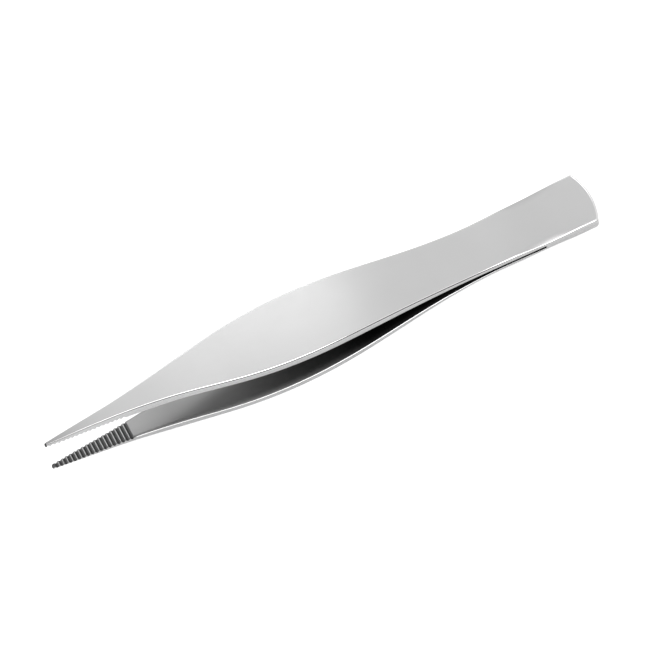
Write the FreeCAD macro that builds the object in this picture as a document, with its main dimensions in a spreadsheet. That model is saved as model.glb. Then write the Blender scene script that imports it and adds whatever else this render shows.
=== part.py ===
import FreeCAD, Part
import math
import os
import Sketcher
from FreeCAD import Placement, Rotation, Vector

# Fine-point tweezers of spring steel: two leaf-shaped arms, welded face to face at the head.
# An arm is drawn with X from the rear of its head to its point, Y across, and the face
# that meets the other arm on Z = 0. Its outer face is above that.

# Sizes in millimetres: name, value, what it sets
sizes = [
    ("arm_length", 100.5, "rear of the head to the point"),
    ("rear_radius", 11.9, "rounded rear end of the head, in plan"),
    ("rear_corner_radius", 0.6, "corner between the rear end and a side"),
    ("head_half_width", 5.06, "half width where the rear end meets the sides"),
    ("neck_station", 10.0, "where the head starts to narrow"),
    ("neck_half_width", 4.9, "half width there"),
    ("waist_station", 20.5, "narrowest place behind the leaf"),
    ("waist_half_width", 4.6, "half width there"),
    ("rise_station", 36.0, "rear flank of the leaf"),
    ("rise_half_width", 5.17, "half width there"),
    ("belly_station", 52.8, "widest place of the leaf"),
    ("belly_half_width", 6.19, "half width there"),
    ("flank_setback", 34.5, "front flank of the leaf, back from the point"),
    ("flank_half_width", 5.21, "half width there"),
    ("shoulder_setback", 24.5, "where the leaf runs into the point, back from it"),
    ("shoulder_half_width", 3.255, "half width there"),
    ("point_length", 10.5, "straight taper to the point"),
    ("point_half_width", 1.23, "half width there"),
    ("tip_radius", 0.33, "round nose of the point, in plan"),
    ("head_thickness", 1.15, "one arm at the head, flat on both faces"),
    ("head_flat_length", 19.0, "flat of the outer face, from the rear end"),
    ("weld_length", 10.9, "welded stretch, from the rear end"),
    ("slit_gap", 0.14, "centre plane to the inner face where the slit starts"),
    ("neck_gap_station", 20.0, "end of the narrow slit"),
    ("neck_gap", 0.29, "centre plane to the inner face there"),
    ("bend_station", 30.0, "where the arms bend apart"),
    ("bend_gap", 0.98, "centre plane to the inner face there"),
    ("bend_thickness", 0.96, "thickness there"),
    ("back_station", 44.0, "rear half of the bow"),
    ("back_gap", 2.34, "centre plane to the inner face there"),
    ("back_thickness", 1.42, "thickness there"),
    ("middle_setback", 40.5, "middle of the bow, back from the point"),
    ("middle_gap", 3.35, "centre plane to the inner face there"),
    ("middle_thickness", 1.46, "thickness there"),
    ("front_setback", 30.5, "front half of the bow, back from the point"),
    ("front_gap", 3.9, "centre plane to the inner face there"),
    ("front_thickness", 1.43, "thickness there"),
    ("crest_setback", 22.5, "highest place, where the arms turn back in, back from the point"),
    ("crest_gap", 4.02, "centre plane to the inner face there"),
    ("crest_thickness", 1.55, "thickness there"),
    ("jaw_length", 14.3, "flat, toothed jaw face"),
    ("jaw_gap", 3.85, "centre plane to the jaw face at its rear end"),
    ("jaw_thickness", 1.44, "thickness there"),
    ("taper_setback", 7.5, "middle of the jaw, back from the point"),
    ("taper_height", 4.96, "centre plane to the outer face there"),
    ("tip_gap", 3.76, "centre plane to the jaw face at the point"),
    ("tip_thickness", 0.62, "thickness at the point"),
    ("shoulder_width", 1.4, "soft shoulder beside the head's flat, at the neck station"),
    ("shoulder_radius", 3.0, "its radius across"),
    ("shoulder_reach", 7.5, "from the neck station to its rear end and to its front end"),
    ("shoulder_rear_overrun", 0.19, "how far it has left the side at its rear end"),
    ("shoulder_front_overrun", 0.05, "how far it has left the side at its front end"),
    ("shoulder_overrun", 0.15, "overrun of its cut past the side"),
    ("rim_radius", 0.3, "rounded outer rim"),
    ("inner_rim_width", 0.07, "small bevel on the inner rim, in front of the weld"),
    ("groove_pitch", 0.77, "from groove to groove along the jaw"),
    ("groove_width", 0.66, "mouth of one groove"),
    ("groove_depth", 0.42, "depth of one groove"),
    ("groove_count", 18, "grooves on each jaw"),
    ("cut_margin", 2.0, "overrun of each cut past the metal"),
]

doc = FreeCAD.newDocument("Tweezers")
sheet = doc.addObject("Spreadsheet::Sheet", "Sizes")
for row, (alias, value, note) in enumerate(sizes, start=1):
    sheet.set(f"A{row}", note)
    sheet.set(f"B{row}", str(value))
    sheet.setAlias(f"B{row}", alias)
doc.recompute()

ORIGIN_POINT = (-1, 1)
X_AXIS = -1
START, END, CENTRE = 1, 2, 3


# A length is a list of terms to add up. A term is a size's name, or a factor and a name.
def total(terms):
    pairs = [term if isinstance(term, tuple) else (1, term) for term in terms]
    return sum(factor * float(sheet.get(name)) for factor, name in pairs)


def formula(terms):
    pairs = [term if isinstance(term, tuple) else (1, term) for term in terms]
    return " + ".join(f"({factor}) * Sizes.{name}" for factor, name in pairs)


# The place this far behind the point
def before(setback):
    return ["arm_length", (-1, setback)]


def addSketch(body, name, role):
    sketch = body.newObject("Sketcher::SketchObject", name)
    plane = [feature for feature in body.Origin.OriginFeatures if feature.Role == role][0]
    sketch.AttachmentSupport = (plane, "")
    sketch.MapMode = "FlatFace"
    return sketch


def addDimension(sketch, terms, *constraint):
    number = sketch.addConstraint(Sketcher.Constraint(*constraint, total(terms)))
    sketch.setExpression(f"Constraints[{number}]", formula(terms))


# One coordinate of a point is held at a length from the origin, on the plus or the minus side
def hold(sketch, direction, geometry, point, terms, sign=1):
    first, last = ORIGIN_POINT, (geometry, point)
    if sign < 0:
        first, last = last, first
    addDimension(sketch, terms, direction, *first, *last)


def join(sketch, kind, first, firstPoint, second, secondPoint):
    sketch.addConstraint(Sketcher.Constraint(kind, first, firstPoint, second, secondPoint))


# A smooth curve through its stations. Each station is a pair of name lists, along and across.
# An empty list leaves that coordinate to what the start of the curve is joined to.
def addCurve(sketch, stations, sign=1, starts=None):
    points = [Vector(total(along), sign * total(across), 0) for along, across in stations]
    points[0] = starts or points[0]
    curve = Part.BSplineCurve()
    curve.interpolate(points)
    spline = sketch.addGeometry(curve, False)
    for number, (along, across) in enumerate(stations):
        mark = sketch.addGeometry(Part.Point(points[number]), True)
        knot = "InternalAlignment:Sketcher::BSplineKnotPoint"
        sketch.addConstraint(Sketcher.Constraint(knot, mark, START, spline, number))
        if along:
            hold(sketch, "DistanceX", mark, START, along)
        if across:
            hold(sketch, "DistanceY", mark, START, across, sign)
    return spline


# Straight lines through the corners, each joined to the next
def addLines(sketch, corners):
    lines = []
    for start, end in zip(corners, corners[1:]):
        lines.append(sketch.addGeometry(Part.LineSegment(start, end), False))
    for first, second in zip(lines, lines[1:]):
        join(sketch, "Coincident", first, END, second, START)
    return lines


# The arm seen from above: a head with a rounded rear end, a waist, a leaf and a needle point
def drawPlan(sketch):
    rearRadius = total(["rear_radius"])
    headHalf = total(["head_half_width"])
    cornerX = rearRadius - math.sqrt(rearRadius ** 2 - headHalf ** 2)
    noseX = total(["arm_length"])
    tipRadius = total(["tip_radius"])
    pointX = total(before("point_length"))
    pointY = total(["point_half_width"])
    slope = math.atan2(pointY - tipRadius, noseX - pointX)
    noseCentre = Vector(noseX - tipRadius, 0, 0)
    touch = Vector(noseCentre.x + tipRadius * math.sin(slope), tipRadius * math.cos(slope), 0)
    stations = [
        ([], ["head_half_width"]),
        (["neck_station"], ["neck_half_width"]),
        (["waist_station"], ["waist_half_width"]),
        (["rise_station"], ["rise_half_width"]),
        (["belly_station"], ["belly_half_width"]),
        (before("flank_setback"), ["flank_half_width"]),
        (before("shoulder_setback"), ["shoulder_half_width"]),
        (before("point_length"), ["point_half_width"]),
    ]
    corners = {side: Vector(cornerX, side * headHalf, 0) for side in (1, -1)}
    rearArc = Part.Arc(corners[1], Vector(0, 0, 0), corners[-1])
    noseArc = Part.Arc(Vector(touch.x, -touch.y, 0), Vector(noseX, 0, 0), touch)
    rear = sketch.addGeometry(rearArc, False)
    nose = sketch.addGeometry(noseArc, False)
    sketch.addConstraint(Sketcher.Constraint("PointOnObject", rear, CENTRE, X_AXIS))
    sketch.addConstraint(Sketcher.Constraint("PointOnObject", nose, CENTRE, X_AXIS))
    hold(sketch, "DistanceX", rear, CENTRE, ["rear_radius"])
    addDimension(sketch, ["rear_radius"], "Radius", rear)
    addDimension(sketch, ["tip_radius"], "Radius", nose)
    apex = sketch.addGeometry(Part.Point(Vector(noseX, 0, 0)), True)
    sketch.addConstraint(Sketcher.Constraint("PointOnObject", apex, START, X_AXIS))
    sketch.addConstraint(Sketcher.Constraint("PointOnObject", apex, START, nose))
    hold(sketch, "DistanceX", apex, START, ["arm_length"])
    for side, rearEnd, noseEnd in ((1, START, END), (-1, END, START)):
        spline = addCurve(sketch, stations, side, starts=corners[side])
        taper = Part.LineSegment(Vector(pointX, side * pointY, 0), Vector(touch.x, side * touch.y, 0))
        line = sketch.addGeometry(taper, False)
        join(sketch, "Coincident", spline, START, rear, rearEnd)
        join(sketch, "Tangent", spline, END, line, START)
        join(sketch, "Tangent", line, END, nose, noseEnd)


# What is cut off above the bowed outer face
def drawOutside(sketch):
    margin = ["cut_margin"]
    crest = ["crest_gap", "crest_thickness"]
    tip = ["tip_gap", "tip_thickness"]
    left, right = -total(margin), total(["arm_length"] + margin)
    high = total(crest + margin * 2)
    low, end = total(["head_thickness"]), total(tip)
    flatEnd = Vector(total(["head_flat_length"]), low, 0)
    spline = addCurve(sketch, [
        (["head_flat_length"], ["head_thickness"]),
        (["bend_station"], ["bend_gap", "bend_thickness"]),
        (["back_station"], ["back_gap", "back_thickness"]),
        (before("middle_setback"), ["middle_gap", "middle_thickness"]),
        (before("front_setback"), ["front_gap", "front_thickness"]),
        (before("crest_setback"), crest),
        (before("jaw_length"), ["jaw_gap", "jaw_thickness"]),
        (before("taper_setback"), ["taper_height"]),
        (["arm_length"], tip),
    ])
    lines = addLines(sketch, [
        Vector(total(["arm_length"]), end, 0),
        Vector(right, end, 0),
        Vector(right, high, 0),
        Vector(left, high, 0),
        Vector(left, low, 0),
        flatEnd,
    ])
    for line, kind in zip(lines, ("Horizontal", "Vertical", "Horizontal", "Vertical", "Horizontal")):
        sketch.addConstraint(Sketcher.Constraint(kind, line))
    join(sketch, "Coincident", spline, END, lines[0], START)
    join(sketch, "Tangent", lines[-1], END, spline, START)
    hold(sketch, "DistanceX", lines[0], END, ["arm_length"] + margin)
    hold(sketch, "DistanceY", lines[1], END, crest + margin * 2)
    hold(sketch, "DistanceX", lines[2], END, margin, -1)


# What is cut off below the bowed inner face, from the weld to the point
def drawInside(sketch):
    margin = ["cut_margin"]
    right, low = total(["arm_length"] + margin), -total(margin)
    slitStart = Vector(total(["weld_length"]), total(["slit_gap"]), 0)
    jawStart = Vector(total(before("jaw_length")), total(["jaw_gap"]), 0)
    tip = Vector(total(["arm_length"]), total(["tip_gap"]), 0)
    spline = addCurve(sketch, [
        (["weld_length"], ["slit_gap"]),
        (["neck_gap_station"], ["neck_gap"]),
        (["bend_station"], ["bend_gap"]),
        (["back_station"], ["back_gap"]),
        (before("middle_setback"), ["middle_gap"]),
        (before("front_setback"), ["front_gap"]),
        (before("crest_setback"), ["crest_gap"]),
        (before("jaw_length"), ["jaw_gap"]),
    ])
    lines = addLines(sketch, [
        jawStart,
        tip,
        Vector(right, tip.y, 0),
        Vector(right, low, 0),
        Vector(slitStart.x, low, 0),
        slitStart,
    ])
    for line, kind in zip(lines[1:], ("Horizontal", "Vertical", "Horizontal", "Vertical")):
        sketch.addConstraint(Sketcher.Constraint(kind, line))
    join(sketch, "Tangent", spline, END, lines[0], START)
    join(sketch, "Coincident", lines[-1], END, spline, START)
    hold(sketch, "DistanceX", lines[0], END, ["arm_length"])
    hold(sketch, "DistanceY", lines[0], END, ["tip_gap"])
    hold(sketch, "DistanceX", lines[1], END, ["arm_length"] + margin)
    hold(sketch, "DistanceY", lines[2], END, margin, -1)


# The soft shoulder beside the head's outer face, cut across: an arc that leaves the flat at
# the start and falls past the side, closed above the metal
def drawShoulder(sketch, start):
    radius = total(["shoulder_radius"])
    across = ["shoulder_width", "shoulder_overrun"]
    reach = start + across
    above = ["head_thickness", "cut_margin"]
    top, high = total(["head_thickness"]), total(above)
    centre = Vector(total(start), top - radius, 0)
    turn = math.asin(total(across) / radius)
    first, middle, last = (
        centre + Vector(math.sin(angle), math.cos(angle), 0) * radius
        for angle in (0, turn / 2, turn)
    )
    arc = sketch.addGeometry(Part.Arc(first, middle, last), False)
    lines = addLines(sketch, [last, Vector(last.x, high, 0), Vector(first.x, high, 0), first])
    for line, kind in zip(lines, ("Vertical", "Horizontal", "Vertical")):
        sketch.addConstraint(Sketcher.Constraint(kind, line))
    join(sketch, "Coincident", lines[0], START, arc, START)
    join(sketch, "Coincident", lines[2], END, arc, END)
    join(sketch, "Vertical", arc, CENTRE, arc, END)
    addDimension(sketch, ["shoulder_radius"], "Radius", arc)
    hold(sketch, "DistanceX", lines[2], END, start)
    hold(sketch, "DistanceY", lines[2], END, ["head_thickness"])
    hold(sketch, "DistanceX", lines[0], END, reach)
    hold(sketch, "DistanceY", lines[0], END, above)


# The first V-shaped groove across the jaw. A guide runs along the jaw face, and the groove's
# triangle has its apex in the metal and its base as far outside the face.
def drawGroove(sketch, start):
    depth, width = total(["groove_depth"]), total(["groove_width"])
    jawStart = Vector(total(before("jaw_length")), total(["jaw_gap"]), 0)
    jawEnd = Vector(total(["arm_length"]), total(["tip_gap"]), 0)
    along = (jawEnd - jawStart).normalize()
    into = Vector(-along.y, along.x, 0)
    mouth = jawStart + along * (total(start) - jawStart.x)
    left = mouth - along * (width / 2) - into * depth
    right = left + along * (2 * width)
    apex = mouth + along * (width / 2) + into * depth
    guide = sketch.addGeometry(Part.LineSegment(jawStart, jawEnd), True)
    base, front, back = addLines(sketch, [left, right, apex, left])
    join(sketch, "Coincident", back, END, base, START)
    hold(sketch, "DistanceX", guide, START, before("jaw_length"))
    hold(sketch, "DistanceY", guide, START, ["jaw_gap"])
    hold(sketch, "DistanceX", guide, END, ["arm_length"])
    hold(sketch, "DistanceY", guide, END, ["tip_gap"])
    sketch.addConstraint(Sketcher.Constraint("Parallel", base, guide))
    sketch.addConstraint(Sketcher.Constraint("Equal", front, back))
    addDimension(sketch, [(2, "groove_width")], "Distance", base)
    addDimension(sketch, ["groove_depth"], "Distance", base, START, guide)
    addDimension(sketch, ["groove_depth"], "Distance", front, END, guide)
    hold(sketch, "DistanceX", base, START, start + [(-0.5, "groove_width")])


def addCut(body, name, sketch, sideways):
    cut = body.newObject("PartDesign::Pocket", name)
    cut.Profile = sketch
    cut.Midplane = True
    cut.setExpression("Length", formula(sideways))
    doc.recompute()
    return cut


def addFillet(body, name, base, edges, radius):
    fillet = body.newObject("PartDesign::Fillet", name)
    fillet.Base = (base, edges)
    fillet.setExpression("Radius", formula(radius))
    doc.recompute()
    return fillet


def addBevel(body, name, base, edges, width):
    bevel = body.newObject("PartDesign::Chamfer", name)
    bevel.Base = (base, edges)
    bevel.setExpression("Size", formula(width))
    doc.recompute()
    return bevel


# Names of the edges that a test picks from a feature's shape
def pickEdges(feature, test):
    shape = feature.Shape
    numbered = enumerate(shape.Edges, start=1)
    return [f"Edge{number}" for number, edge in numbered if test(shape, edge)]


# How far a face looks up, from 1, straight up, through 0, a wall, to -1, straight down
def upness(face, edge):
    middle = edge.valueAt((edge.FirstParameter + edge.LastParameter) / 2)
    u, v = face.Surface.parameter(middle)
    return face.normalAt(u, v).z


# A rim edge lies between an upright wall and a face that looks up or down
def isRim(shape, edge, sign):
    levels = [sign * upness(face, edge) for face in shape.ancestorsOfType(edge, Part.Face)]
    walls = [level for level in levels if abs(level) < 1e-6]
    lids = [level for level in levels if level > 0.1]
    return len(walls) == 1 and len(lids) == 1


def isOuterRim(shape, edge):
    return isRim(shape, edge, 1)


def isInnerRim(shape, edge):
    box = edge.BoundBox
    return isRim(shape, edge, -1) and box.ZMax > 1e-3 and box.XLength > 1e-3


def isRearCorner(shape, edge):
    box = edge.BoundBox
    upright = box.ZLength > 1 and box.XLength < 1e-3 and box.YLength < 1e-3
    return upright and box.XMax < total(["neck_station"])


# One arm. The start of its first groove sets how its teeth fall between the other arm's.
def buildArm(name, firstGroove):
    body = doc.addObject("PartDesign::Body", name)
    body.Label = name
    doc.recompute()
    sideways = [(4, "belly_half_width")]

    plan = addSketch(body, name + "_plan", "XY_Plane")
    drawPlan(plan)
    blank = body.newObject("PartDesign::Pad", name + "_blank")
    blank.Profile = plan
    blank.setExpression("Length", formula(["crest_gap", "crest_thickness", "cut_margin"]))
    doc.recompute()
    corners = pickEdges(blank, isRearCorner)
    addFillet(body, name + "_rear_corners", blank, corners, ["rear_corner_radius"])

    outside = addSketch(body, name + "_outside", "XZ_Plane")
    drawOutside(outside)
    addCut(body, name + "_outside_cut", outside, sideways)
    inside = addSketch(body, name + "_inside", "XZ_Plane")
    drawInside(inside)
    addCut(body, name + "_inside_cut", inside, sideways)

    # Where the shoulder ends, the side is part of the way from the neck's width to the
    # head's at the rear, and to the waist's in front
    sections = []
    for label, place, start in (
        ("rear", ["neck_station", (-1, "shoulder_reach")],
         [(3 / 4, "head_half_width"), (1 / 4, "neck_half_width"), "shoulder_rear_overrun"]),
        ("middle", ["neck_station"], ["neck_half_width", (-1, "shoulder_width")]),
        ("front", ["neck_station", "shoulder_reach"],
         [(2 / 3, "waist_half_width"), (1 / 3, "neck_half_width"), "shoulder_front_overrun"]),
    ):
        section = addSketch(body, name + "_shoulder_" + label, "YZ_Plane")
        section.setExpression("AttachmentOffset.Base.z", formula(place))
        drawShoulder(section, start)
        sections.append(section)
    shoulder = body.newObject("PartDesign::SubtractiveLoft", name + "_shoulder")
    shoulder.Profile = sections[0]
    shoulder.Sections = sections[1:]
    doc.recompute()
    shoulders = body.newObject("PartDesign::Mirrored", name + "_shoulders")
    shoulders.Originals = [shoulder]
    shoulders.MirrorPlane = (sections[0], ["V_Axis"])
    body.Tip = shoulders
    doc.recompute()

    outerEdges = pickEdges(shoulders, isOuterRim)
    rim = addFillet(body, name + "_rim", shoulders, outerEdges, ["rim_radius"])
    innerEdges = pickEdges(rim, isInnerRim)
    addBevel(body, name + "_inner_rim", rim, innerEdges, ["inner_rim_width"])

    profile = addSketch(body, name + "_groove_profile", "XZ_Plane")
    drawGroove(profile, firstGroove)
    groove = addCut(body, name + "_groove", profile, sideways)
    grooves = body.newObject("PartDesign::LinearPattern", name + "_grooves")
    grooves.Originals = [groove]
    grooves.Direction = (profile, ["Axis0"])
    grooves.setExpression("Occurrences", formula(["groove_count"]))
    grooves.setExpression("Length", "(Sizes.groove_count - 1) * Sizes.groove_pitch")
    body.Tip = grooves
    doc.recompute()
    return body


# The angle at which the pair comes to rest: it lies on the rear edge of the lower head and on
# the place of the lower bow that sticks out furthest from there
def restAngle(arm):
    outside = doc.getObject(arm.Name + "_outside")
    bow = outside.Geometry[0]
    rearX = total(["rim_radius"])
    rearHeight = total(["head_thickness"])
    steps = 400
    span = bow.LastParameter - bow.FirstParameter
    places = [bow.value(bow.FirstParameter + span * step / steps) for step in range(1, steps + 1)]
    return max(math.atan2(place.y - rearHeight, place.x - rearX) for place in places)


# The lower arm's teeth start half a pitch behind the upper arm's, so that they mesh
upperArm = buildArm("upper_arm", before("jaw_length") + [(0.5, "groove_pitch")])
lowerArm = buildArm("lower_arm", before("jaw_length"))

# The pair lies on the lower arm, turned over on the welded face, its middle over the origin
turnedOver = Placement(Vector(0, 0, 0), Rotation(Vector(1, 0, 0), 180))
leaning = Placement(Vector(0, 0, 0), Rotation(Vector(0, 1, 0), -math.degrees(restAngle(lowerArm))))
upperArm.Placement = leaning
lowerArm.Placement = leaning.multiply(turnedOver)
doc.recompute()
upperBox = upperArm.Shape.optimalBoundingBox(False, False)
lowerBox = lowerArm.Shape.optimalBoundingBox(False, False)
middleX = (min(upperBox.XMin, lowerBox.XMin) + max(upperBox.XMax, lowerBox.XMax)) / 2
onGround = Placement(Vector(-middleX, 0, -lowerBox.ZMin), Rotation())
upperArm.Placement = onGround.multiply(upperArm.Placement)
lowerArm.Placement = onGround.multiply(lowerArm.Placement)
doc.recompute()

for item in doc.Objects:
    if "Invalid" in item.State or "Error" in item.State:
        raise RuntimeError(f"{item.Name} did not build: {item.State}")

os.makedirs("parts", exist_ok=True)
for arm in (upperArm, lowerArm):
    if arm.Shape.isNull() or not arm.Shape.isValid():
        raise RuntimeError(f"{arm.Label} is not a valid solid")
    arm.Shape.exportStep(f"parts/{arm.Label}.step")
    print(arm.Label, len(arm.Shape.Solids), "solid,", round(arm.Shape.Volume, 1), "cubic mm")
print("rest angle", round(math.degrees(restAngle(lowerArm)), 3), "degrees")
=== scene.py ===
import math

import bmesh
import bpy
import numpy as np
from mathutils import Matrix, Vector


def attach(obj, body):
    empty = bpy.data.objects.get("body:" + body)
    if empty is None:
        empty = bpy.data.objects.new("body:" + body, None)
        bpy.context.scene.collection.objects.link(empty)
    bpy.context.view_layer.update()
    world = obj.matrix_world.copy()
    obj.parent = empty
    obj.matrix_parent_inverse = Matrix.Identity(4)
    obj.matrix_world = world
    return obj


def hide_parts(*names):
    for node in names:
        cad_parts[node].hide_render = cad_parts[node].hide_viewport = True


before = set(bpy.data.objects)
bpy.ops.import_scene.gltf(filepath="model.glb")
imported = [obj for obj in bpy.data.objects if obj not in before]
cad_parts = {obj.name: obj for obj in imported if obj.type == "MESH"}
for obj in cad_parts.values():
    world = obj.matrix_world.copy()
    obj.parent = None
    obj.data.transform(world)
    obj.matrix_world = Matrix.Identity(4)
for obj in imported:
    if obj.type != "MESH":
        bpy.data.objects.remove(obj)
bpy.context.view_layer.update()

mm = 0.001     # in metres

# The arms are drawn in millimetres, X from the rear of the head to the point, Y across,
# and the welded face on Z = 0, then laid down the way the tweezers come to rest.
lying = {
    "leanDegrees": 3.592078,   # the head's flats against the table
    "shiftX": -50.253328,      # mm, puts the middle over the origin
    "shiftZ": 1.129534,        # mm, puts the lower bow on the table
}
lean = math.radians(lying["leanDegrees"])
leanMatrix = Matrix(((math.cos(lean), 0, -math.sin(lean)), (0, 1, 0), (math.sin(lean), 0, math.cos(lean))))
leanShift = Vector((lying["shiftX"], 0, lying["shiftZ"]))


def layDown(point):
    return (leanMatrix @ Vector(point) + leanShift) * mm


def toLinear(hexColour):
    channels = [int(hexColour[i:i + 2], 16) / 255 for i in (1, 3, 5)]
    return [c / 12.92 if c <= 0.04045 else ((c + 0.055) / 1.055) ** 2.4 for c in channels] + [1.0]


def addNode(tree, kind, settings=(), links=()):
    node = tree.nodes.new(kind)
    for key, value in dict(settings).items():
        if isinstance(key, int) or key in node.inputs:
            node.inputs[key].default_value = value
        else:
            setattr(node, key, value)
    for key, source in dict(links).items():
        tree.links.new(source, node.inputs[key])
    return node


# What a user would change in the steel's finishes. Sizes are in millimetres.
finishes = {
    "satinGroundSteel": {      # outer faces, belt-ground then tumbled: soft, even sheen
        "colour": "#D1D1D1", "darkColour": "#C9C9C9", "roughness": 0.36, "roughnessRange": 0.05,
        "lineWidth": 0.22, "lineLength": 9.0, "bump": 0.004,
    },
    "polishedRimSteel": {      # rims, rolled over on a felt wheel: they catch a white line, and their near-white colour adds painted highlight to it
        "colour": "#FAFAFA", "darkColour": "#F3F3F3", "roughness": 0.08, "roughnessRange": 0.03,
        "lineWidth": 0.3, "lineLength": 6.0, "bump": 0.002,
    },
    "groundSideSteel": {       # sheared sides, ground along: greyer than the rims
        "colour": "#EAEAEA", "darkColour": "#E0E0E0", "roughness": 0.28, "roughnessRange": 0.05,
        "lineWidth": 0.2, "lineLength": 5.0, "bump": 0.004,
    },
    "brightBevelSteel": {      # narrow bevel of the inner rim, broken with a stone: a thin light line
        "colour": "#E8E8E8", "darkColour": "#E0E0E0", "roughness": 0.22, "roughnessRange": 0.04,
        "lineWidth": 0.3, "lineLength": 5.0, "bump": 0.002,
    },
    "innerSatinSteel": {       # inner faces, rolled and lightly ground: grey at the jaws, made dark at the weld with painted shade
        "colour": "#AFAFAF", "darkColour": "#A9A9A9", "roughness": 0.38, "roughnessRange": 0.03,
        "lineWidth": 0.25, "lineLength": 7.0, "bump": 0.0015,
        # Towards the weld, where the two arms shade each other, the colour is darkened as painted shade.
        # The list gives how much of the painted shade is off, by mm from the rear.
        "paintedShadeColour": "#303030", "shadeFree": [(44, 0.0), (68, 0.8), (79, 0.8), (86, 1.0)],
    },
    "milledGrooveSteel": {     # grooves of the jaw, straight from the cutter: dull, and coloured dark as painted shade in the hollows
        "colour": "#9A9A9A", "darkColour": "#8C8C8C", "roughness": 0.34, "roughnessRange": 0.06,
        "lineWidth": 0.12, "lineLength": 0.5, "bump": 0.004,
    },
    "cutPointSteel": {         # ends of the points, cut off and coloured darker: dark dots
        "colour": "#6E6E6E", "darkColour": "#646464", "roughness": 0.4, "roughnessRange": 0.05,
        "lineWidth": 0.12, "lineLength": 0.5, "bump": 0.002,
    },
    "stonedCrestSteel": {      # tops of the teeth, levelled with a stone and coloured lighter as a painted highlight: thin bright lines
        "colour": "#D0D0D0", "darkColour": "#C6C6C6", "roughness": 0.3, "roughnessRange": 0.05,
        "lineWidth": 0.12, "lineLength": 0.5, "bump": 0.002,
    },
}
grinding = {                   # what all the finishes share
    "lineDetail": 3.0,
    "lineRoughness": 0.6,
    "lineContrast": (0.3, 0.7),   # part of the lines' range that changes the roughness
    "bumpStrength": 0.25,
    "cloudWidth": 12.0,        # mm, slow change of tone from hand finishing
    "cloudDetail": 2.0,
}


def makeSteel(name, finish):
    material = bpy.data.materials.new(name)
    material.use_nodes = True
    tree = material.node_tree
    tree.nodes.clear()
    place = addNode(tree, "ShaderNodeTexCoord")
    # Grinding lines run along the arm. Real ones are about 0.03 mm apart, drawn coarser to show.
    along, across = 1 / (finish["lineLength"] * mm), 1 / (finish["lineWidth"] * mm)
    stretched = addNode(tree, "ShaderNodeMapping", {"Scale": (along, across, across)},
                        {"Vector": place.outputs["Object"]})
    lines = addNode(tree, "ShaderNodeTexNoise", {
        "Scale": 1.0, "Detail": grinding["lineDetail"], "Roughness": grinding["lineRoughness"]},
        {"Vector": stretched.outputs["Vector"]})
    clouds = addNode(tree, "ShaderNodeTexNoise", {
        "Scale": 1 / (grinding["cloudWidth"] * mm), "Detail": grinding["cloudDetail"]},
        {"Vector": place.outputs["Object"]})
    colour = addNode(tree, "ShaderNodeMix", {
        "data_type": "RGBA", 6: toLinear(finish["darkColour"]), 7: toLinear(finish["colour"])},
        {0: clouds.outputs["Fac"]})
    # the inner faces get painted shade towards the weld, between the arms
    if "shadeFree" in finish:
        colour = addPaintedShade(tree, finish, place, colour)
    low = finish["roughness"] - finish["roughnessRange"] / 2
    lineLow, lineHigh = grinding["lineContrast"]
    rough = addNode(tree, "ShaderNodeMapRange", {
        "From Min": lineLow, "From Max": lineHigh, "To Min": low, "To Max": low + finish["roughnessRange"]},
        {"Value": lines.outputs["Fac"]})
    bump = addNode(tree, "ShaderNodeBump", {
        "Strength": grinding["bumpStrength"], "Distance": finish["bump"] * mm},
        {"Height": lines.outputs["Fac"]})
    shader = addNode(tree, "ShaderNodeBsdfPrincipled", {"Metallic": 1.0}, {
        "Base Color": colour.outputs[2], "Roughness": rough.outputs["Result"],
        "Normal": bump.outputs["Normal"]})
    addNode(tree, "ShaderNodeOutputMaterial", links={"Surface": shader.outputs["BSDF"]})
    return material


# Painted shade over the steel's own colour, going away along the arm
def addPaintedShade(tree, finish, place, colour):
    first, last = finish["shadeFree"][0][0], finish["shadeFree"][-1][0]
    along = addNode(tree, "ShaderNodeSeparateXYZ", links={"Vector": place.outputs["Object"]})
    share = addNode(tree, "ShaderNodeMapRange", {
        "From Min": (first + lying["shiftX"]) * mm, "From Max": (last + lying["shiftX"]) * mm},
        {"Value": along.outputs["X"]})
    shadeFree = addNode(tree, "ShaderNodeValToRGB", links={"Fac": share.outputs["Result"]})
    stops = shadeFree.color_ramp.elements
    for x, shadeFreeShare in finish["shadeFree"]:
        if x in (first, last):
            stop = stops[0 if x == first else -1]
        else:
            stop = stops.new((x - first) / (last - first))
        stop.color = (shadeFreeShare, shadeFreeShare, shadeFreeShare, 1)
    return addNode(tree, "ShaderNodeMix", {"data_type": "RGBA", 6: toLinear(finish["paintedShadeColour"])},
                   {0: shadeFree.outputs["Color"], 7: colour.outputs[2]})


steels = [makeSteel(name, finish) for name, finish in finishes.items()]
print("steel finishes made:", len(steels))


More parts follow.
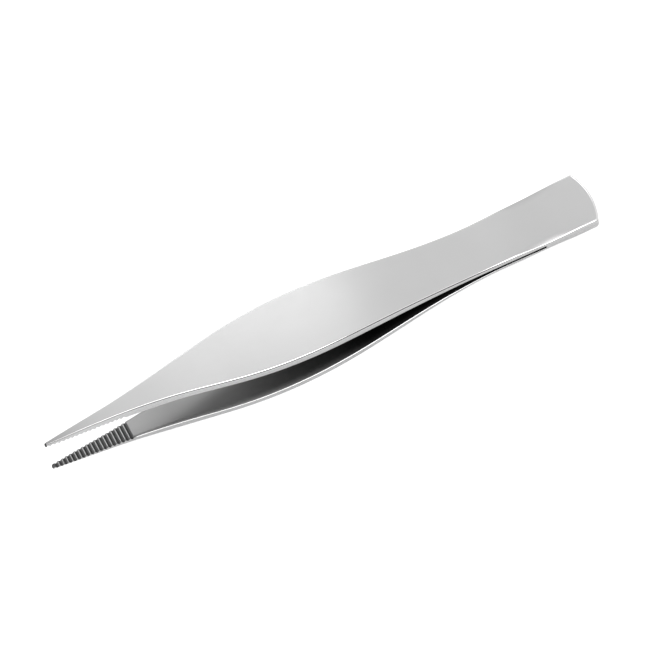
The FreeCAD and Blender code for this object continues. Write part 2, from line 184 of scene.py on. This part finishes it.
# A smooth curve through (x, y) stations: gives height and slope at x
def smoothCurve(stations, startSlope=None, endSlope=None):
    x = np.array([s[0] for s in stations], float)
    y = np.array([s[1] for s in stations], float)
    h = np.diff(x)
    chord = np.diff(y) / h
    if startSlope is None:     # slope of the parabola through the first three stations
        startSlope = chord[0] - h[0] * (chord[1] - chord[0]) / (h[0] + h[1])
    if endSlope is None:       # and through the last three
        endSlope = chord[-1] + h[-1] * (chord[-1] - chord[-2]) / (h[-1] + h[-2])
    count = len(x)
    table = np.zeros((count, count))
    right = np.zeros(count)
    table[0, 0] = table[-1, -1] = 1
    right[0], right[-1] = startSlope, endSlope
    for i in range(1, count - 1):
        table[i, i - 1:i + 2] = h[i], 2 * (h[i - 1] + h[i]), h[i - 1]
        right[i] = 3 * (h[i] * chord[i - 1] + h[i - 1] * chord[i])
    slopes = np.linalg.solve(table, right)

    def at(place):
        i = int(np.clip(np.searchsorted(x, place) - 1, 0, count - 2))
        t = (place - x[i]) / h[i]
        height = (y[i] * (1 + 2 * t) * (1 - t) ** 2 + slopes[i] * h[i] * t * (1 - t) ** 2
                  + y[i + 1] * t * t * (3 - 2 * t) + slopes[i + 1] * h[i] * t * t * (t - 1))
        slope = (6 * t * (t - 1) * (y[i] - y[i + 1]) / h[i]
                 + slopes[i] * (1 - t) * (1 - 3 * t) + slopes[i + 1] * t * (3 * t - 2))
        return height, slope
    return at


# Straight from each (x, y) station to the next
def stepCurve(stations):
    return lambda place: float(np.interp(place, *zip(*stations)))


# Profile of a rim against the turn of its surface in radians, from the side (0) to the outer face:
# a round, a narrow honed flat and another round. Gives the depth in from the side and the height.
def rimCurve(lowRadius, flatWidth, topRadius, flatStart, flatEnd):
    turns = np.radians(np.arange(0, 141))      # in steps of a degree, further than any rim turns
    middles = np.degrees(turns[1:] + turns[:-1]) / 2
    radii = np.where(middles < flatStart, lowRadius, topRadius)
    onFlat = (middles > flatStart) & (middles < flatEnd)
    radii = np.where(onFlat, flatWidth / math.radians(flatEnd - flatStart), radii) * math.radians(1)
    depths = np.append(0, np.cumsum(radii * np.sin(np.radians(middles))))
    heights = np.append(0, np.cumsum(radii * np.cos(np.radians(middles))))
    return lambda turn: (float(np.interp(turn, turns, depths)), float(np.interp(turn, turns, heights)))


# Sizes of one arm in millimetres, with stations along it as (x, size there). The outline and the bow
# are the solid's. The rims, the slit in front of the weld and the jaw's flares are drawn more finely.
arm = {
    "length": 100.5,
    "rearRadius": 11.9,
    "cornerRadius": 0.6,
    "taperStart": 90.0,        # straight sides from here to the nose
    "taperHalf": 1.23,
    "noseRadius": 0.33,
    # Half the width
    "leaf": [(1.129373, 5.06), (10, 4.9), (20.5, 4.6), (36, 5.17), (52.8, 6.19), (66, 5.21),
             (76, 3.255), (90, 1.23)],
    "headThickness": 1.15,
    "flatEnd": 19.0,           # the outer face is flat as far as this
    # Heights of the outer and the inner face over the weld plane
    "outer": [(19, 1.15), (30, 1.94), (44, 3.76), (60, 4.81), (70, 5.33), (78, 5.57),
              (86.2, 5.29), (93, 4.96), (100.5, 4.38)],
    "weldEnd": 10.9,
    "inner": [(10.9, 0.31), (15, 0.28), (20, 0.35), (25, 0.63), (30, 1.0), (44, 2.34), (60, 3.35),
              (70, 3.9), (78, 4.02), (86.2, 3.85)],
    "jawStart": 86.2,
    "jawTip": 3.76,            # height of the jaw face at the point
    "shoulder": [(2.5, 5.21), (10, 3.5), (17.5, 4.75)],   # the head's soft shoulder starts this far out
    "shoulderRadius": 3.0,
    "rim": (0.24, 0.12, 0.24, 34, 42),     # low round, flat, top round, and the flat's turns in degrees
    "headRim": (0.2, 0.03, 0.42, 34, 42),  # softer round the head
    "headRimShare": [(15, 1), (21, 0)],
    "rimFade": [(68, 1), (84, 0.75), (98, 0.5)],   # the rim gets finer towards the point
    "innerRimWide": 0.12,      # bevel on the inner rim, on the face and down the side
    "innerRimTall": 0.06,
    "innerRimGrowth": [(17, 0.05), (30, 0.8), (60, 0.8), (80, 0.6),
                       (85.9, 0.6), (86.2, 0.3)],     # next to none in the slit, little on the teeth
    "upperInnerRim": 0.3,      # how tall the upper arm's bevel is against the lower arm's
    "groovePitch": 0.77,
    "grooveWidth": 0.66,
    "grooveDepth": 0.42,
    "grooves": 18,
    "jawFlare": [(77, 0), (84, 0.1), (97, 0.12), (100.2, 0.03)],   # jaw face ground a little wider
    "backFlare": [(81, 0), (93, 0.09), (100.2, 0.05)],             # and the outer face narrower
}
meshing = {                    # how finely the skin is drawn, lengths in mm
    "rearSteps": 14,
    "cornerSteps": 8,
    "noseSteps": 8,
    "sideStep": 0.55,
    "sideClear": (0.4, 0.3),   # left free in front of the corner and behind the jaw
    "weldStep": 0.001,         # the slit opens between rings this far before and after the weld's end
    "hair": 0.01,              # nearer than this counts as the same place
    "leastBevel": 0.004,       # keeps points apart where a bevel runs out
    "leastSide": 0.002,        # and where a groove runs out at the side
    # Where the points of a ring lie: shares of the way from the middle to the rim, of the rim's turn,
    # close together round its flat, and of the way from the middle to the inner rim
    "outerColumns": [0, .22, .44, .58, .68, .74, .78, .82, .86, .9, .935, .965],
    "rimShares": [1, .91, .82, .73, .64, .55, .465, .42, .375, .28, .19, .1, 0],
    "innerColumns": [.75, .5, .25, 0],
    "mergeDistance": 1e-7,     # m
    "flatDistance": 1e-8,      # m
    "sharpDegrees": 28,
}
taperSlope = -(arm["taperHalf"] - arm["noseRadius"]) / (arm["length"] - arm["taperStart"])
jawSlope = (arm["jawTip"] - arm["inner"][-1][1]) / (arm["length"] - arm["jawStart"])
leafCurve = smoothCurve(arm["leaf"], endSlope=taperSlope)
outerCurve = smoothCurve(arm["outer"], startSlope=0)
innerCurve = smoothCurve(arm["inner"], endSlope=jawSlope)
shoulderCurve = smoothCurve(arm["shoulder"])
leafRim, headRim = rimCurve(*arm["rim"]), rimCurve(*arm["headRim"])
headRimShare, rimFade = stepCurve(arm["headRimShare"]), stepCurve(arm["rimFade"])
innerRimGrowth = stepCurve(arm["innerRimGrowth"])
jawFlare, backFlare = stepCurve(arm["jawFlare"]), stepCurve(arm["backFlare"])


# The outer rim's profile at x: depth in from the side and height, where its surface has turned so far
def rimAt(x, turn):
    share = headRimShare(x)
    return [share * head + (1 - share) * leaf for head, leaf in zip(headRim(turn), leafRim(turn))]


# Height of the outer face and how steeply it falls, along and across
def outerFace(x, y):
    height, along = (arm["headThickness"], 0.0) if x <= arm["flatEnd"] else outerCurve(x)
    first, last = arm["shoulder"][0][0], arm["shoulder"][-1][0]
    over = abs(y) - shoulderCurve(x)[0] if first < x < last else 0.0
    if over <= 0:
        return height, along, 0.0
    radius = arm["shoulderRadius"]
    under = math.sqrt(radius ** 2 - over ** 2)
    return height - radius + under, along, -over / under


# Height of the inner face over the weld plane
def innerHeight(x):
    if x < arm["weldEnd"]:
        return 0.0
    if x < arm["jawStart"]:
        return innerCurve(x)[0]
    return arm["inner"][-1][1] + jawSlope * (x - arm["jawStart"])


# Depth of the V groove at x, and 0 between the grooves
def grooveAt(x, firstGroove):
    if x < firstGroove:
        return 0.0
    number, along = divmod(x - firstGroove, arm["groovePitch"])
    if number >= arm["grooves"] or along >= arm["grooveWidth"]:
        return 0.0
    return arm["grooveDepth"] * (1 - abs(2 * along / arm["grooveWidth"] - 1))


# Half the width and its slope
def sideAt(x):
    if x < arm["taperStart"]:
        return leafCurve(x)
    return arm["taperHalf"] + taperSlope * (x - arm["taperStart"]), taperSlope


# Centre of the small corner arc, which touches the rear arc and the side, and the side's slope there
def cornerCentre():
    rear, corner = arm["rearRadius"], arm["cornerRadius"]
    x = 3 * corner             # a first guess that the rounds below settle
    for _ in range(40):
        half, slope = sideAt(x)
        y = half - corner * math.hypot(1, slope)
        x = rear - math.sqrt((rear - corner) ** 2 - y ** 2)
    return x, y, slope


# Where rings cross the arm between the corner and the nose
def sidePlaces(sideStart, firstGroove):
    clearBehind, clearAhead = meshing["sideClear"]
    places = list(np.arange(sideStart + clearBehind, arm["jawStart"] - clearAhead, meshing["sideStep"]))
    places += [arm["weldEnd"] - meshing["weldStep"], arm["weldEnd"] + meshing["weldStep"]]
    places += [arm["flatEnd"], arm["jawStart"]]
    reach = arm["grooveWidth"] / 2
    jawBevel = arm["innerRimTall"] * arm["innerRimGrowth"][-1][1]
    lip = reach * jawBevel / arm["grooveDepth"]      # where a groove gets as deep as the bevel is tall
    for number in range(arm["grooves"]):
        start = firstGroove + number * arm["groovePitch"]
        end = start + arm["grooveWidth"]
        places += [start, start + lip, start + reach, end - lip, end]
    return sorted(places)


# The arm's edge seen from above, from the rear to the nose: (x, y, normal x, normal y)
def outlinePoints(firstGroove):
    rear, corner, nose = arm["rearRadius"], arm["cornerRadius"], arm["noseRadius"]
    cornerX, cornerY, slope = cornerCentre()
    turnStart = math.atan2(cornerY, rear - cornerX)
    turnEnd = math.pi / 2 + math.atan(slope)
    points = []
    for turn in np.linspace(0, turnStart, meshing["rearSteps"] + 1):
        nx, ny = -math.cos(turn), math.sin(turn)
        points.append((rear + rear * nx, rear * ny, nx, ny))
    for turn in np.linspace(turnStart, turnEnd, meshing["cornerSteps"] + 1)[1:]:
        nx, ny = -math.cos(turn), math.sin(turn)
        points.append((cornerX + corner * nx, cornerY + corner * ny, nx, ny))
    taper = math.atan(taperSlope)
    noseX = arm["length"] - nose
    touchX = noseX - nose * math.sin(taper)
    for place in sidePlaces(points[-1][0], firstGroove):
        if place < touchX - meshing["hair"]:
            half, fall = sideAt(place)
            run = math.hypot(1, fall)
            points.append((place, half, -fall / run, 1 / run))
    for turn in np.linspace(math.pi / 2 + taper, 0, meshing["noseSteps"] + 1):
        nx, ny = math.cos(turn), math.sin(turn)
        points.append((noseX + nose * nx, nose * ny, nx, ny))
    return points


# Which steel the inner face shows from x to nextX
def innerSteel(x, nextX, firstGroove):
    if x <= arm["jawStart"] - meshing["hair"]:
        return "innerSatinSteel"
    # the grooves take the steel that is coloured dark as painted shade
    if grooveAt((x + nextX) / 2, firstGroove) > 0:
        return "milledGrooveSteel"
    # the crests between the grooves take the steel lightened as a painted highlight
    lastGroove = firstGroove + (arm["grooves"] - 1) * arm["groovePitch"]
    return "cutPointSteel" if nextX > lastGroove else "stonedCrestSteel"


# Half a ring across the arm at one point of its edge, from the middle of the outer face over the rim
# and the side to the middle of the inner face: (x, y, z, steel of the strip that follows)
def halfRing(edgePoint, nextX, side, firstGroove):
    x, edgeY, nx, ny = edgePoint
    fade = ny if x > arm["taperStart"] else 1.0      # the flares run out round the nose
    jawY = edgeY + jawFlare(x) * fade
    backY = edgeY - min(backFlare(x) * fade, edgeY)

    def inset(fromY, depth):
        return x - nx * depth, max(fromY - ny * depth, 0.0)

    innerZ = innerHeight(x)
    faceSteel = innerSteel(x, nextX, firstGroove)
    toothed = faceSteel != "innerSatinSteel"
    groove = grooveAt(x, firstGroove) if toothed else 0.0
    growth = 0.0 if x < arm["weldEnd"] else innerRimGrowth(x)
    tall = arm["innerRimTall"] * growth * (arm["upperInnerRim"] if side > 0 else 1)
    bevel = max(tall, meshing["leastBevel"])
    lip = max(arm["innerRimWide"] * growth - groove, meshing["leastBevel"])

    # The rim turns from the side, which slants from the jaw's edge to the outer face's, to the face's fall
    top, along, across = outerFace(x, backY)
    fall = math.atan(-(along * nx + across * ny))
    turnEnd = math.pi / 2 - fall
    rimSize = rimFade(x)
    depth, height = rimAt(x, turnEnd)
    rimTall = rimSize * (height - depth * math.tan(fall))
    slant = math.atan((jawY - backY) / (top - rimTall - innerZ))

    points = []
    rimX, rimY = inset(backY, rimSize * depth)
    for share in meshing["outerColumns"]:
        points.append((rimX, rimY * share, outerFace(rimX, rimY * share)[0], "satinGroundSteel"))
    for share in meshing["rimShares"]:
        depth, height = rimAt(x, slant + (turnEnd - slant) * share)
        # the rim's steel is coloured near white, which adds painted highlight to its light line
        steel = "polishedRimSteel" if share > 0 else "groundSideSteel"
        points.append((*inset(backY, rimSize * depth), top - rimTall + rimSize * height, steel))
    low = innerZ + groove
    sideEnd = max(innerZ + bevel, low + meshing["leastSide"])
    points.append((x, jawY, sideEnd, "milledGrooveSteel" if toothed else "brightBevelSteel"))
    faceX, faceY = inset(jawY, lip)
    points.append((faceX, faceY, low, faceSteel))
    for share in meshing["innerColumns"]:
        points.append((faceX, faceY * share, low, faceSteel))
    if x >= arm["length"] - arm["noseRadius"]:
        points = [(px, py, pz, "cutPointSteel") for px, py, pz, steel in points]
    return points


# One arm as rings across it. side is 1 for the upper arm and -1 for the lower, which is turned over.
def buildArm(name, side, firstGroove):
    edge = outlinePoints(firstGroove)
    nextPlaces = [point[0] for point in edge[1:]] + [arm["length"]]
    halves = [halfRing(point, nextX, side, firstGroove) for point, nextX in zip(edge, nextPlaces)]
    steelOrder = list(finishes)
    mesh = bmesh.new()
    rings = []
    for half in halves:
        ring = [(x, y, z) for x, y, z, steel in half]
        ring += [(x, -y, z) for x, y, z in ring[-2:0:-1]]
        rings.append([mesh.verts.new(layDown((x, side * y, side * z))) for x, y, z in ring])
    for first, second, half in zip(rings, rings[1:], halves):
        strips = [steelOrder.index(steel) for x, y, z, steel in half[:-1]]
        for i, steelIndex in enumerate(strips + strips[::-1]):
            j = (i + 1) % len(first)
            face = mesh.faces.new((first[i], first[j], second[j], second[i]))
            face.material_index = steelIndex
    mesh.faces.new(rings[0]).material_index = steelOrder.index("groundSideSteel")
    mesh.faces.new(rings[-1]).material_index = steelOrder.index("cutPointSteel")
    bmesh.ops.remove_doubles(mesh, verts=mesh.verts, dist=meshing["mergeDistance"])
    bmesh.ops.dissolve_degenerate(mesh, edges=mesh.edges, dist=meshing["flatDistance"])
    bmesh.ops.recalc_face_normals(mesh, faces=mesh.faces)
    data = bpy.data.meshes.new(name)
    mesh.to_mesh(data)
    mesh.free()
    data.shade_smooth()
    data.set_sharp_from_angle(angle=math.radians(meshing["sharpDegrees"]))
    piece = bpy.data.objects.new(name, data)
    bpy.context.scene.collection.objects.link(piece)
    return piece


# The upper arm's grooves start half a pitch further on, so that the teeth mesh
upperGroove = arm["jawStart"] + arm["groovePitch"] / 2
for node, side, firstGroove in (("upper_arm", 1, upperGroove), ("lower_arm", -1, arm["jawStart"])):
    piece = buildArm(node + "_skin", side, firstGroove)
    for steel in steels:
        piece.data.materials.append(steel)
    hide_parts(node)
    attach(piece, "root")
    print(piece.name, "faces:", len(piece.data.polygons))

# Studio: white paper on the floor, soft boxes, black cards that the steel mirrors, and an even sky.
# Lengths are in metres, and the brightness of a box is in watts.
studio = {
    "paperColour": "#F8F8F8",
    "paperDarkColour": "#DEDEDE",
    "paperRoughness": 0.9,
    "paperSpecular": 0.1,
    "paperGrain": 6.6667,      # mm, single fibres are too fine to show
    "paperGrainDetail": 2.0,
    "glowColour": "#FFFFFF",
    "glowStrength": 0.7,       # the paper as if lit from below, for the camera alone: no shadow shows
    "floorReach": 3.0,         # from the middle to each side
    "skyColour": "#FFFFFF",
    "skyStrength": 0.815,
    "boxes": [                 # name, place, aim, width and height, brightness
        ("frontBox", (-0.08, 0.42, 0.68), (0, 0, 0), (0.37, 0.7), 1.55),
        ("headBox", (-0.095, -0.055, 0.08), (-0.03, 0, 0.01), (0.02, 0.02), 0.0022),
    ],
    # A row of small boxes behind the bow draws its soft light: place along X, brightness
    "bowRow": [(-0.03, 0.002), (-0.015, 0.0011), (0, 0.0009), (0.015, 0.0008), (0.03, 0.0007)],
    "bowRowPlace": (-0.049, 0.08),     # Y and Z
    "bowRowAim": (0.6, 0.018, 0.01),   # share of a box's own X, what is added to it, and Z
    "bowBoxSize": 0.02,
    "cards": [                 # name, lowest corner and highest corner
        ("frontCard", (-0.6, 0.5, 0), (0.6, 0.5, 0.3)),              # draws the dark line on the rims
        ("pointCard", (0.052, -0.035, 0.045), (0.075, 0.0, 0.045)),  # keeps the points dark
    ],
    "feltColour": "#101010",
    "feltRoughness": 1.0,
    "feltSpecular": 0.0,
}


# A flat sheet of the studio, from its four corners
def makeSheet(name, corners, material):
    data = bpy.data.meshes.new(name)
    data.from_pydata(corners, [], [(0, 1, 2, 3)])
    data.materials.append(material)
    sheet = bpy.data.objects.new(name, data)
    bpy.context.scene.collection.objects.link(sheet)
    return sheet


paper = bpy.data.materials.new("matteWhitePaper")    # uncoated sheet: no gloss, faint grain
paper.use_nodes = True
paperTree = paper.node_tree
paperShader = paperTree.nodes["Principled BSDF"]
paperShader.inputs["Roughness"].default_value = studio["paperRoughness"]
paperShader.inputs["Specular IOR Level"].default_value = studio["paperSpecular"]
paperShader.inputs["Emission Color"].default_value = toLinear(studio["glowColour"])
# The grain's own scale counts across the whole floor
paperGrain = addNode(paperTree, "ShaderNodeTexNoise", {
    "Scale": 2 * studio["floorReach"] / (studio["paperGrain"] * mm), "Detail": studio["paperGrainDetail"]})
paperTone = addNode(paperTree, "ShaderNodeMix", {
    "data_type": "RGBA", 6: toLinear(studio["paperColour"]), 7: toLinear(studio["paperDarkColour"])},
    {0: paperGrain.outputs["Fac"]})
paperTree.links.new(paperTone.outputs[2], paperShader.inputs["Base Color"])
ray = addNode(paperTree, "ShaderNodeLightPath")
glow = addNode(paperTree, "ShaderNodeMath", {"operation": "MULTIPLY", 1: studio["glowStrength"]},
               {0: ray.outputs["Is Camera Ray"]})
paperTree.links.new(glow.outputs[0], paperShader.inputs["Emission Strength"])
reach = studio["floorReach"]
floorCorners = [(reach * x, reach * y, 0) for x, y in ((-1, -1), (1, -1), (1, 1), (-1, 1))]
floor = makeSheet("studioFloor", floorCorners, paper)

felt = bpy.data.materials.new("blackFelt")           # wool felt: swallows the light, no gloss
felt.use_nodes = True
feltShader = felt.node_tree.nodes["Principled BSDF"]
feltShader.inputs["Base Color"].default_value = toLinear(studio["feltColour"])
feltShader.inputs["Roughness"].default_value = studio["feltRoughness"]
feltShader.inputs["Specular IOR Level"].default_value = studio["feltSpecular"]
for name, low, high in studio["cards"]:
    card = makeSheet(name, [low, (high[0], low[1], low[2]), high, (low[0], high[1], high[2])], felt)
    card.visible_camera = False

world = bpy.data.worlds.new("studioSky")
bpy.context.scene.world = world
world.use_nodes = True
sky = world.node_tree.nodes["Background"]
sky.inputs["Color"].default_value = toLinear(studio["skyColour"])
sky.inputs["Strength"].default_value = studio["skyStrength"]
boxes = list(studio["boxes"])
aimShare, aimShift, aimHeight = studio["bowRowAim"]
for along, power in studio["bowRow"]:
    aim = (aimShare * along + aimShift, 0, aimHeight)
    boxes.append(("bowBox", (along, *studio["bowRowPlace"]), aim, [studio["bowBoxSize"]] * 2, power))
for name, place, aim, (width, height), power in boxes:
    light = bpy.data.lights.new(name, "AREA")
    light.shape = "RECTANGLE"
    light.size, light.size_y = width, height
    light.energy = power
    lamp = bpy.data.objects.new(name, light)
    lamp.location = place
    lamp.rotation_euler = (Vector(aim) - Vector(place)).to_track_quat("-Z", "Y").to_euler()
    lamp.visible_camera = False
    bpy.context.scene.collection.objects.link(lamp)
print("studio lit")

# Camera at the photograph's angle, given against the arms: which way is right and down in the picture
view = {
    "aim": (50, 0, 0),         # mm, on the weld plane's centre line, half way along
    "right": (-0.8939, 0.4388, -0.0922),
    "down": (0.4274, 0.7718, -0.4708),
    "distance": 648.2,         # mm
    "lens": 218.4,             # mm
    "sensor": 36,              # mm
    "shift": (-0.00186, 0.00364),
    "clip": (0.01, 20),        # m
}
right = (leanMatrix @ Vector(view["right"])).normalized()
down = leanMatrix @ Vector(view["down"])
down = (down - right * down.dot(right)).normalized()
ahead = right.cross(down)
cameraData = bpy.data.cameras.new("photoCamera")
cameraData.lens = view["lens"]
cameraData.sensor_width = view["sensor"]
cameraData.shift_x, cameraData.shift_y = view["shift"]
cameraData.clip_start, cameraData.clip_end = view["clip"]
camera = bpy.data.objects.new("photoCamera", cameraData)
turn = Matrix((right, -down, -ahead)).transposed().to_4x4()
camera.matrix_world = Matrix.Translation(layDown(view["aim"]) - ahead * view["distance"] * mm) @ turn
bpy.context.scene.collection.objects.link(camera)
bpy.context.scene.camera = camera
bpy.context.scene.view_settings.view_transform = "Standard"
bpy.context.scene.view_settings.look = "None"
print("camera placed")
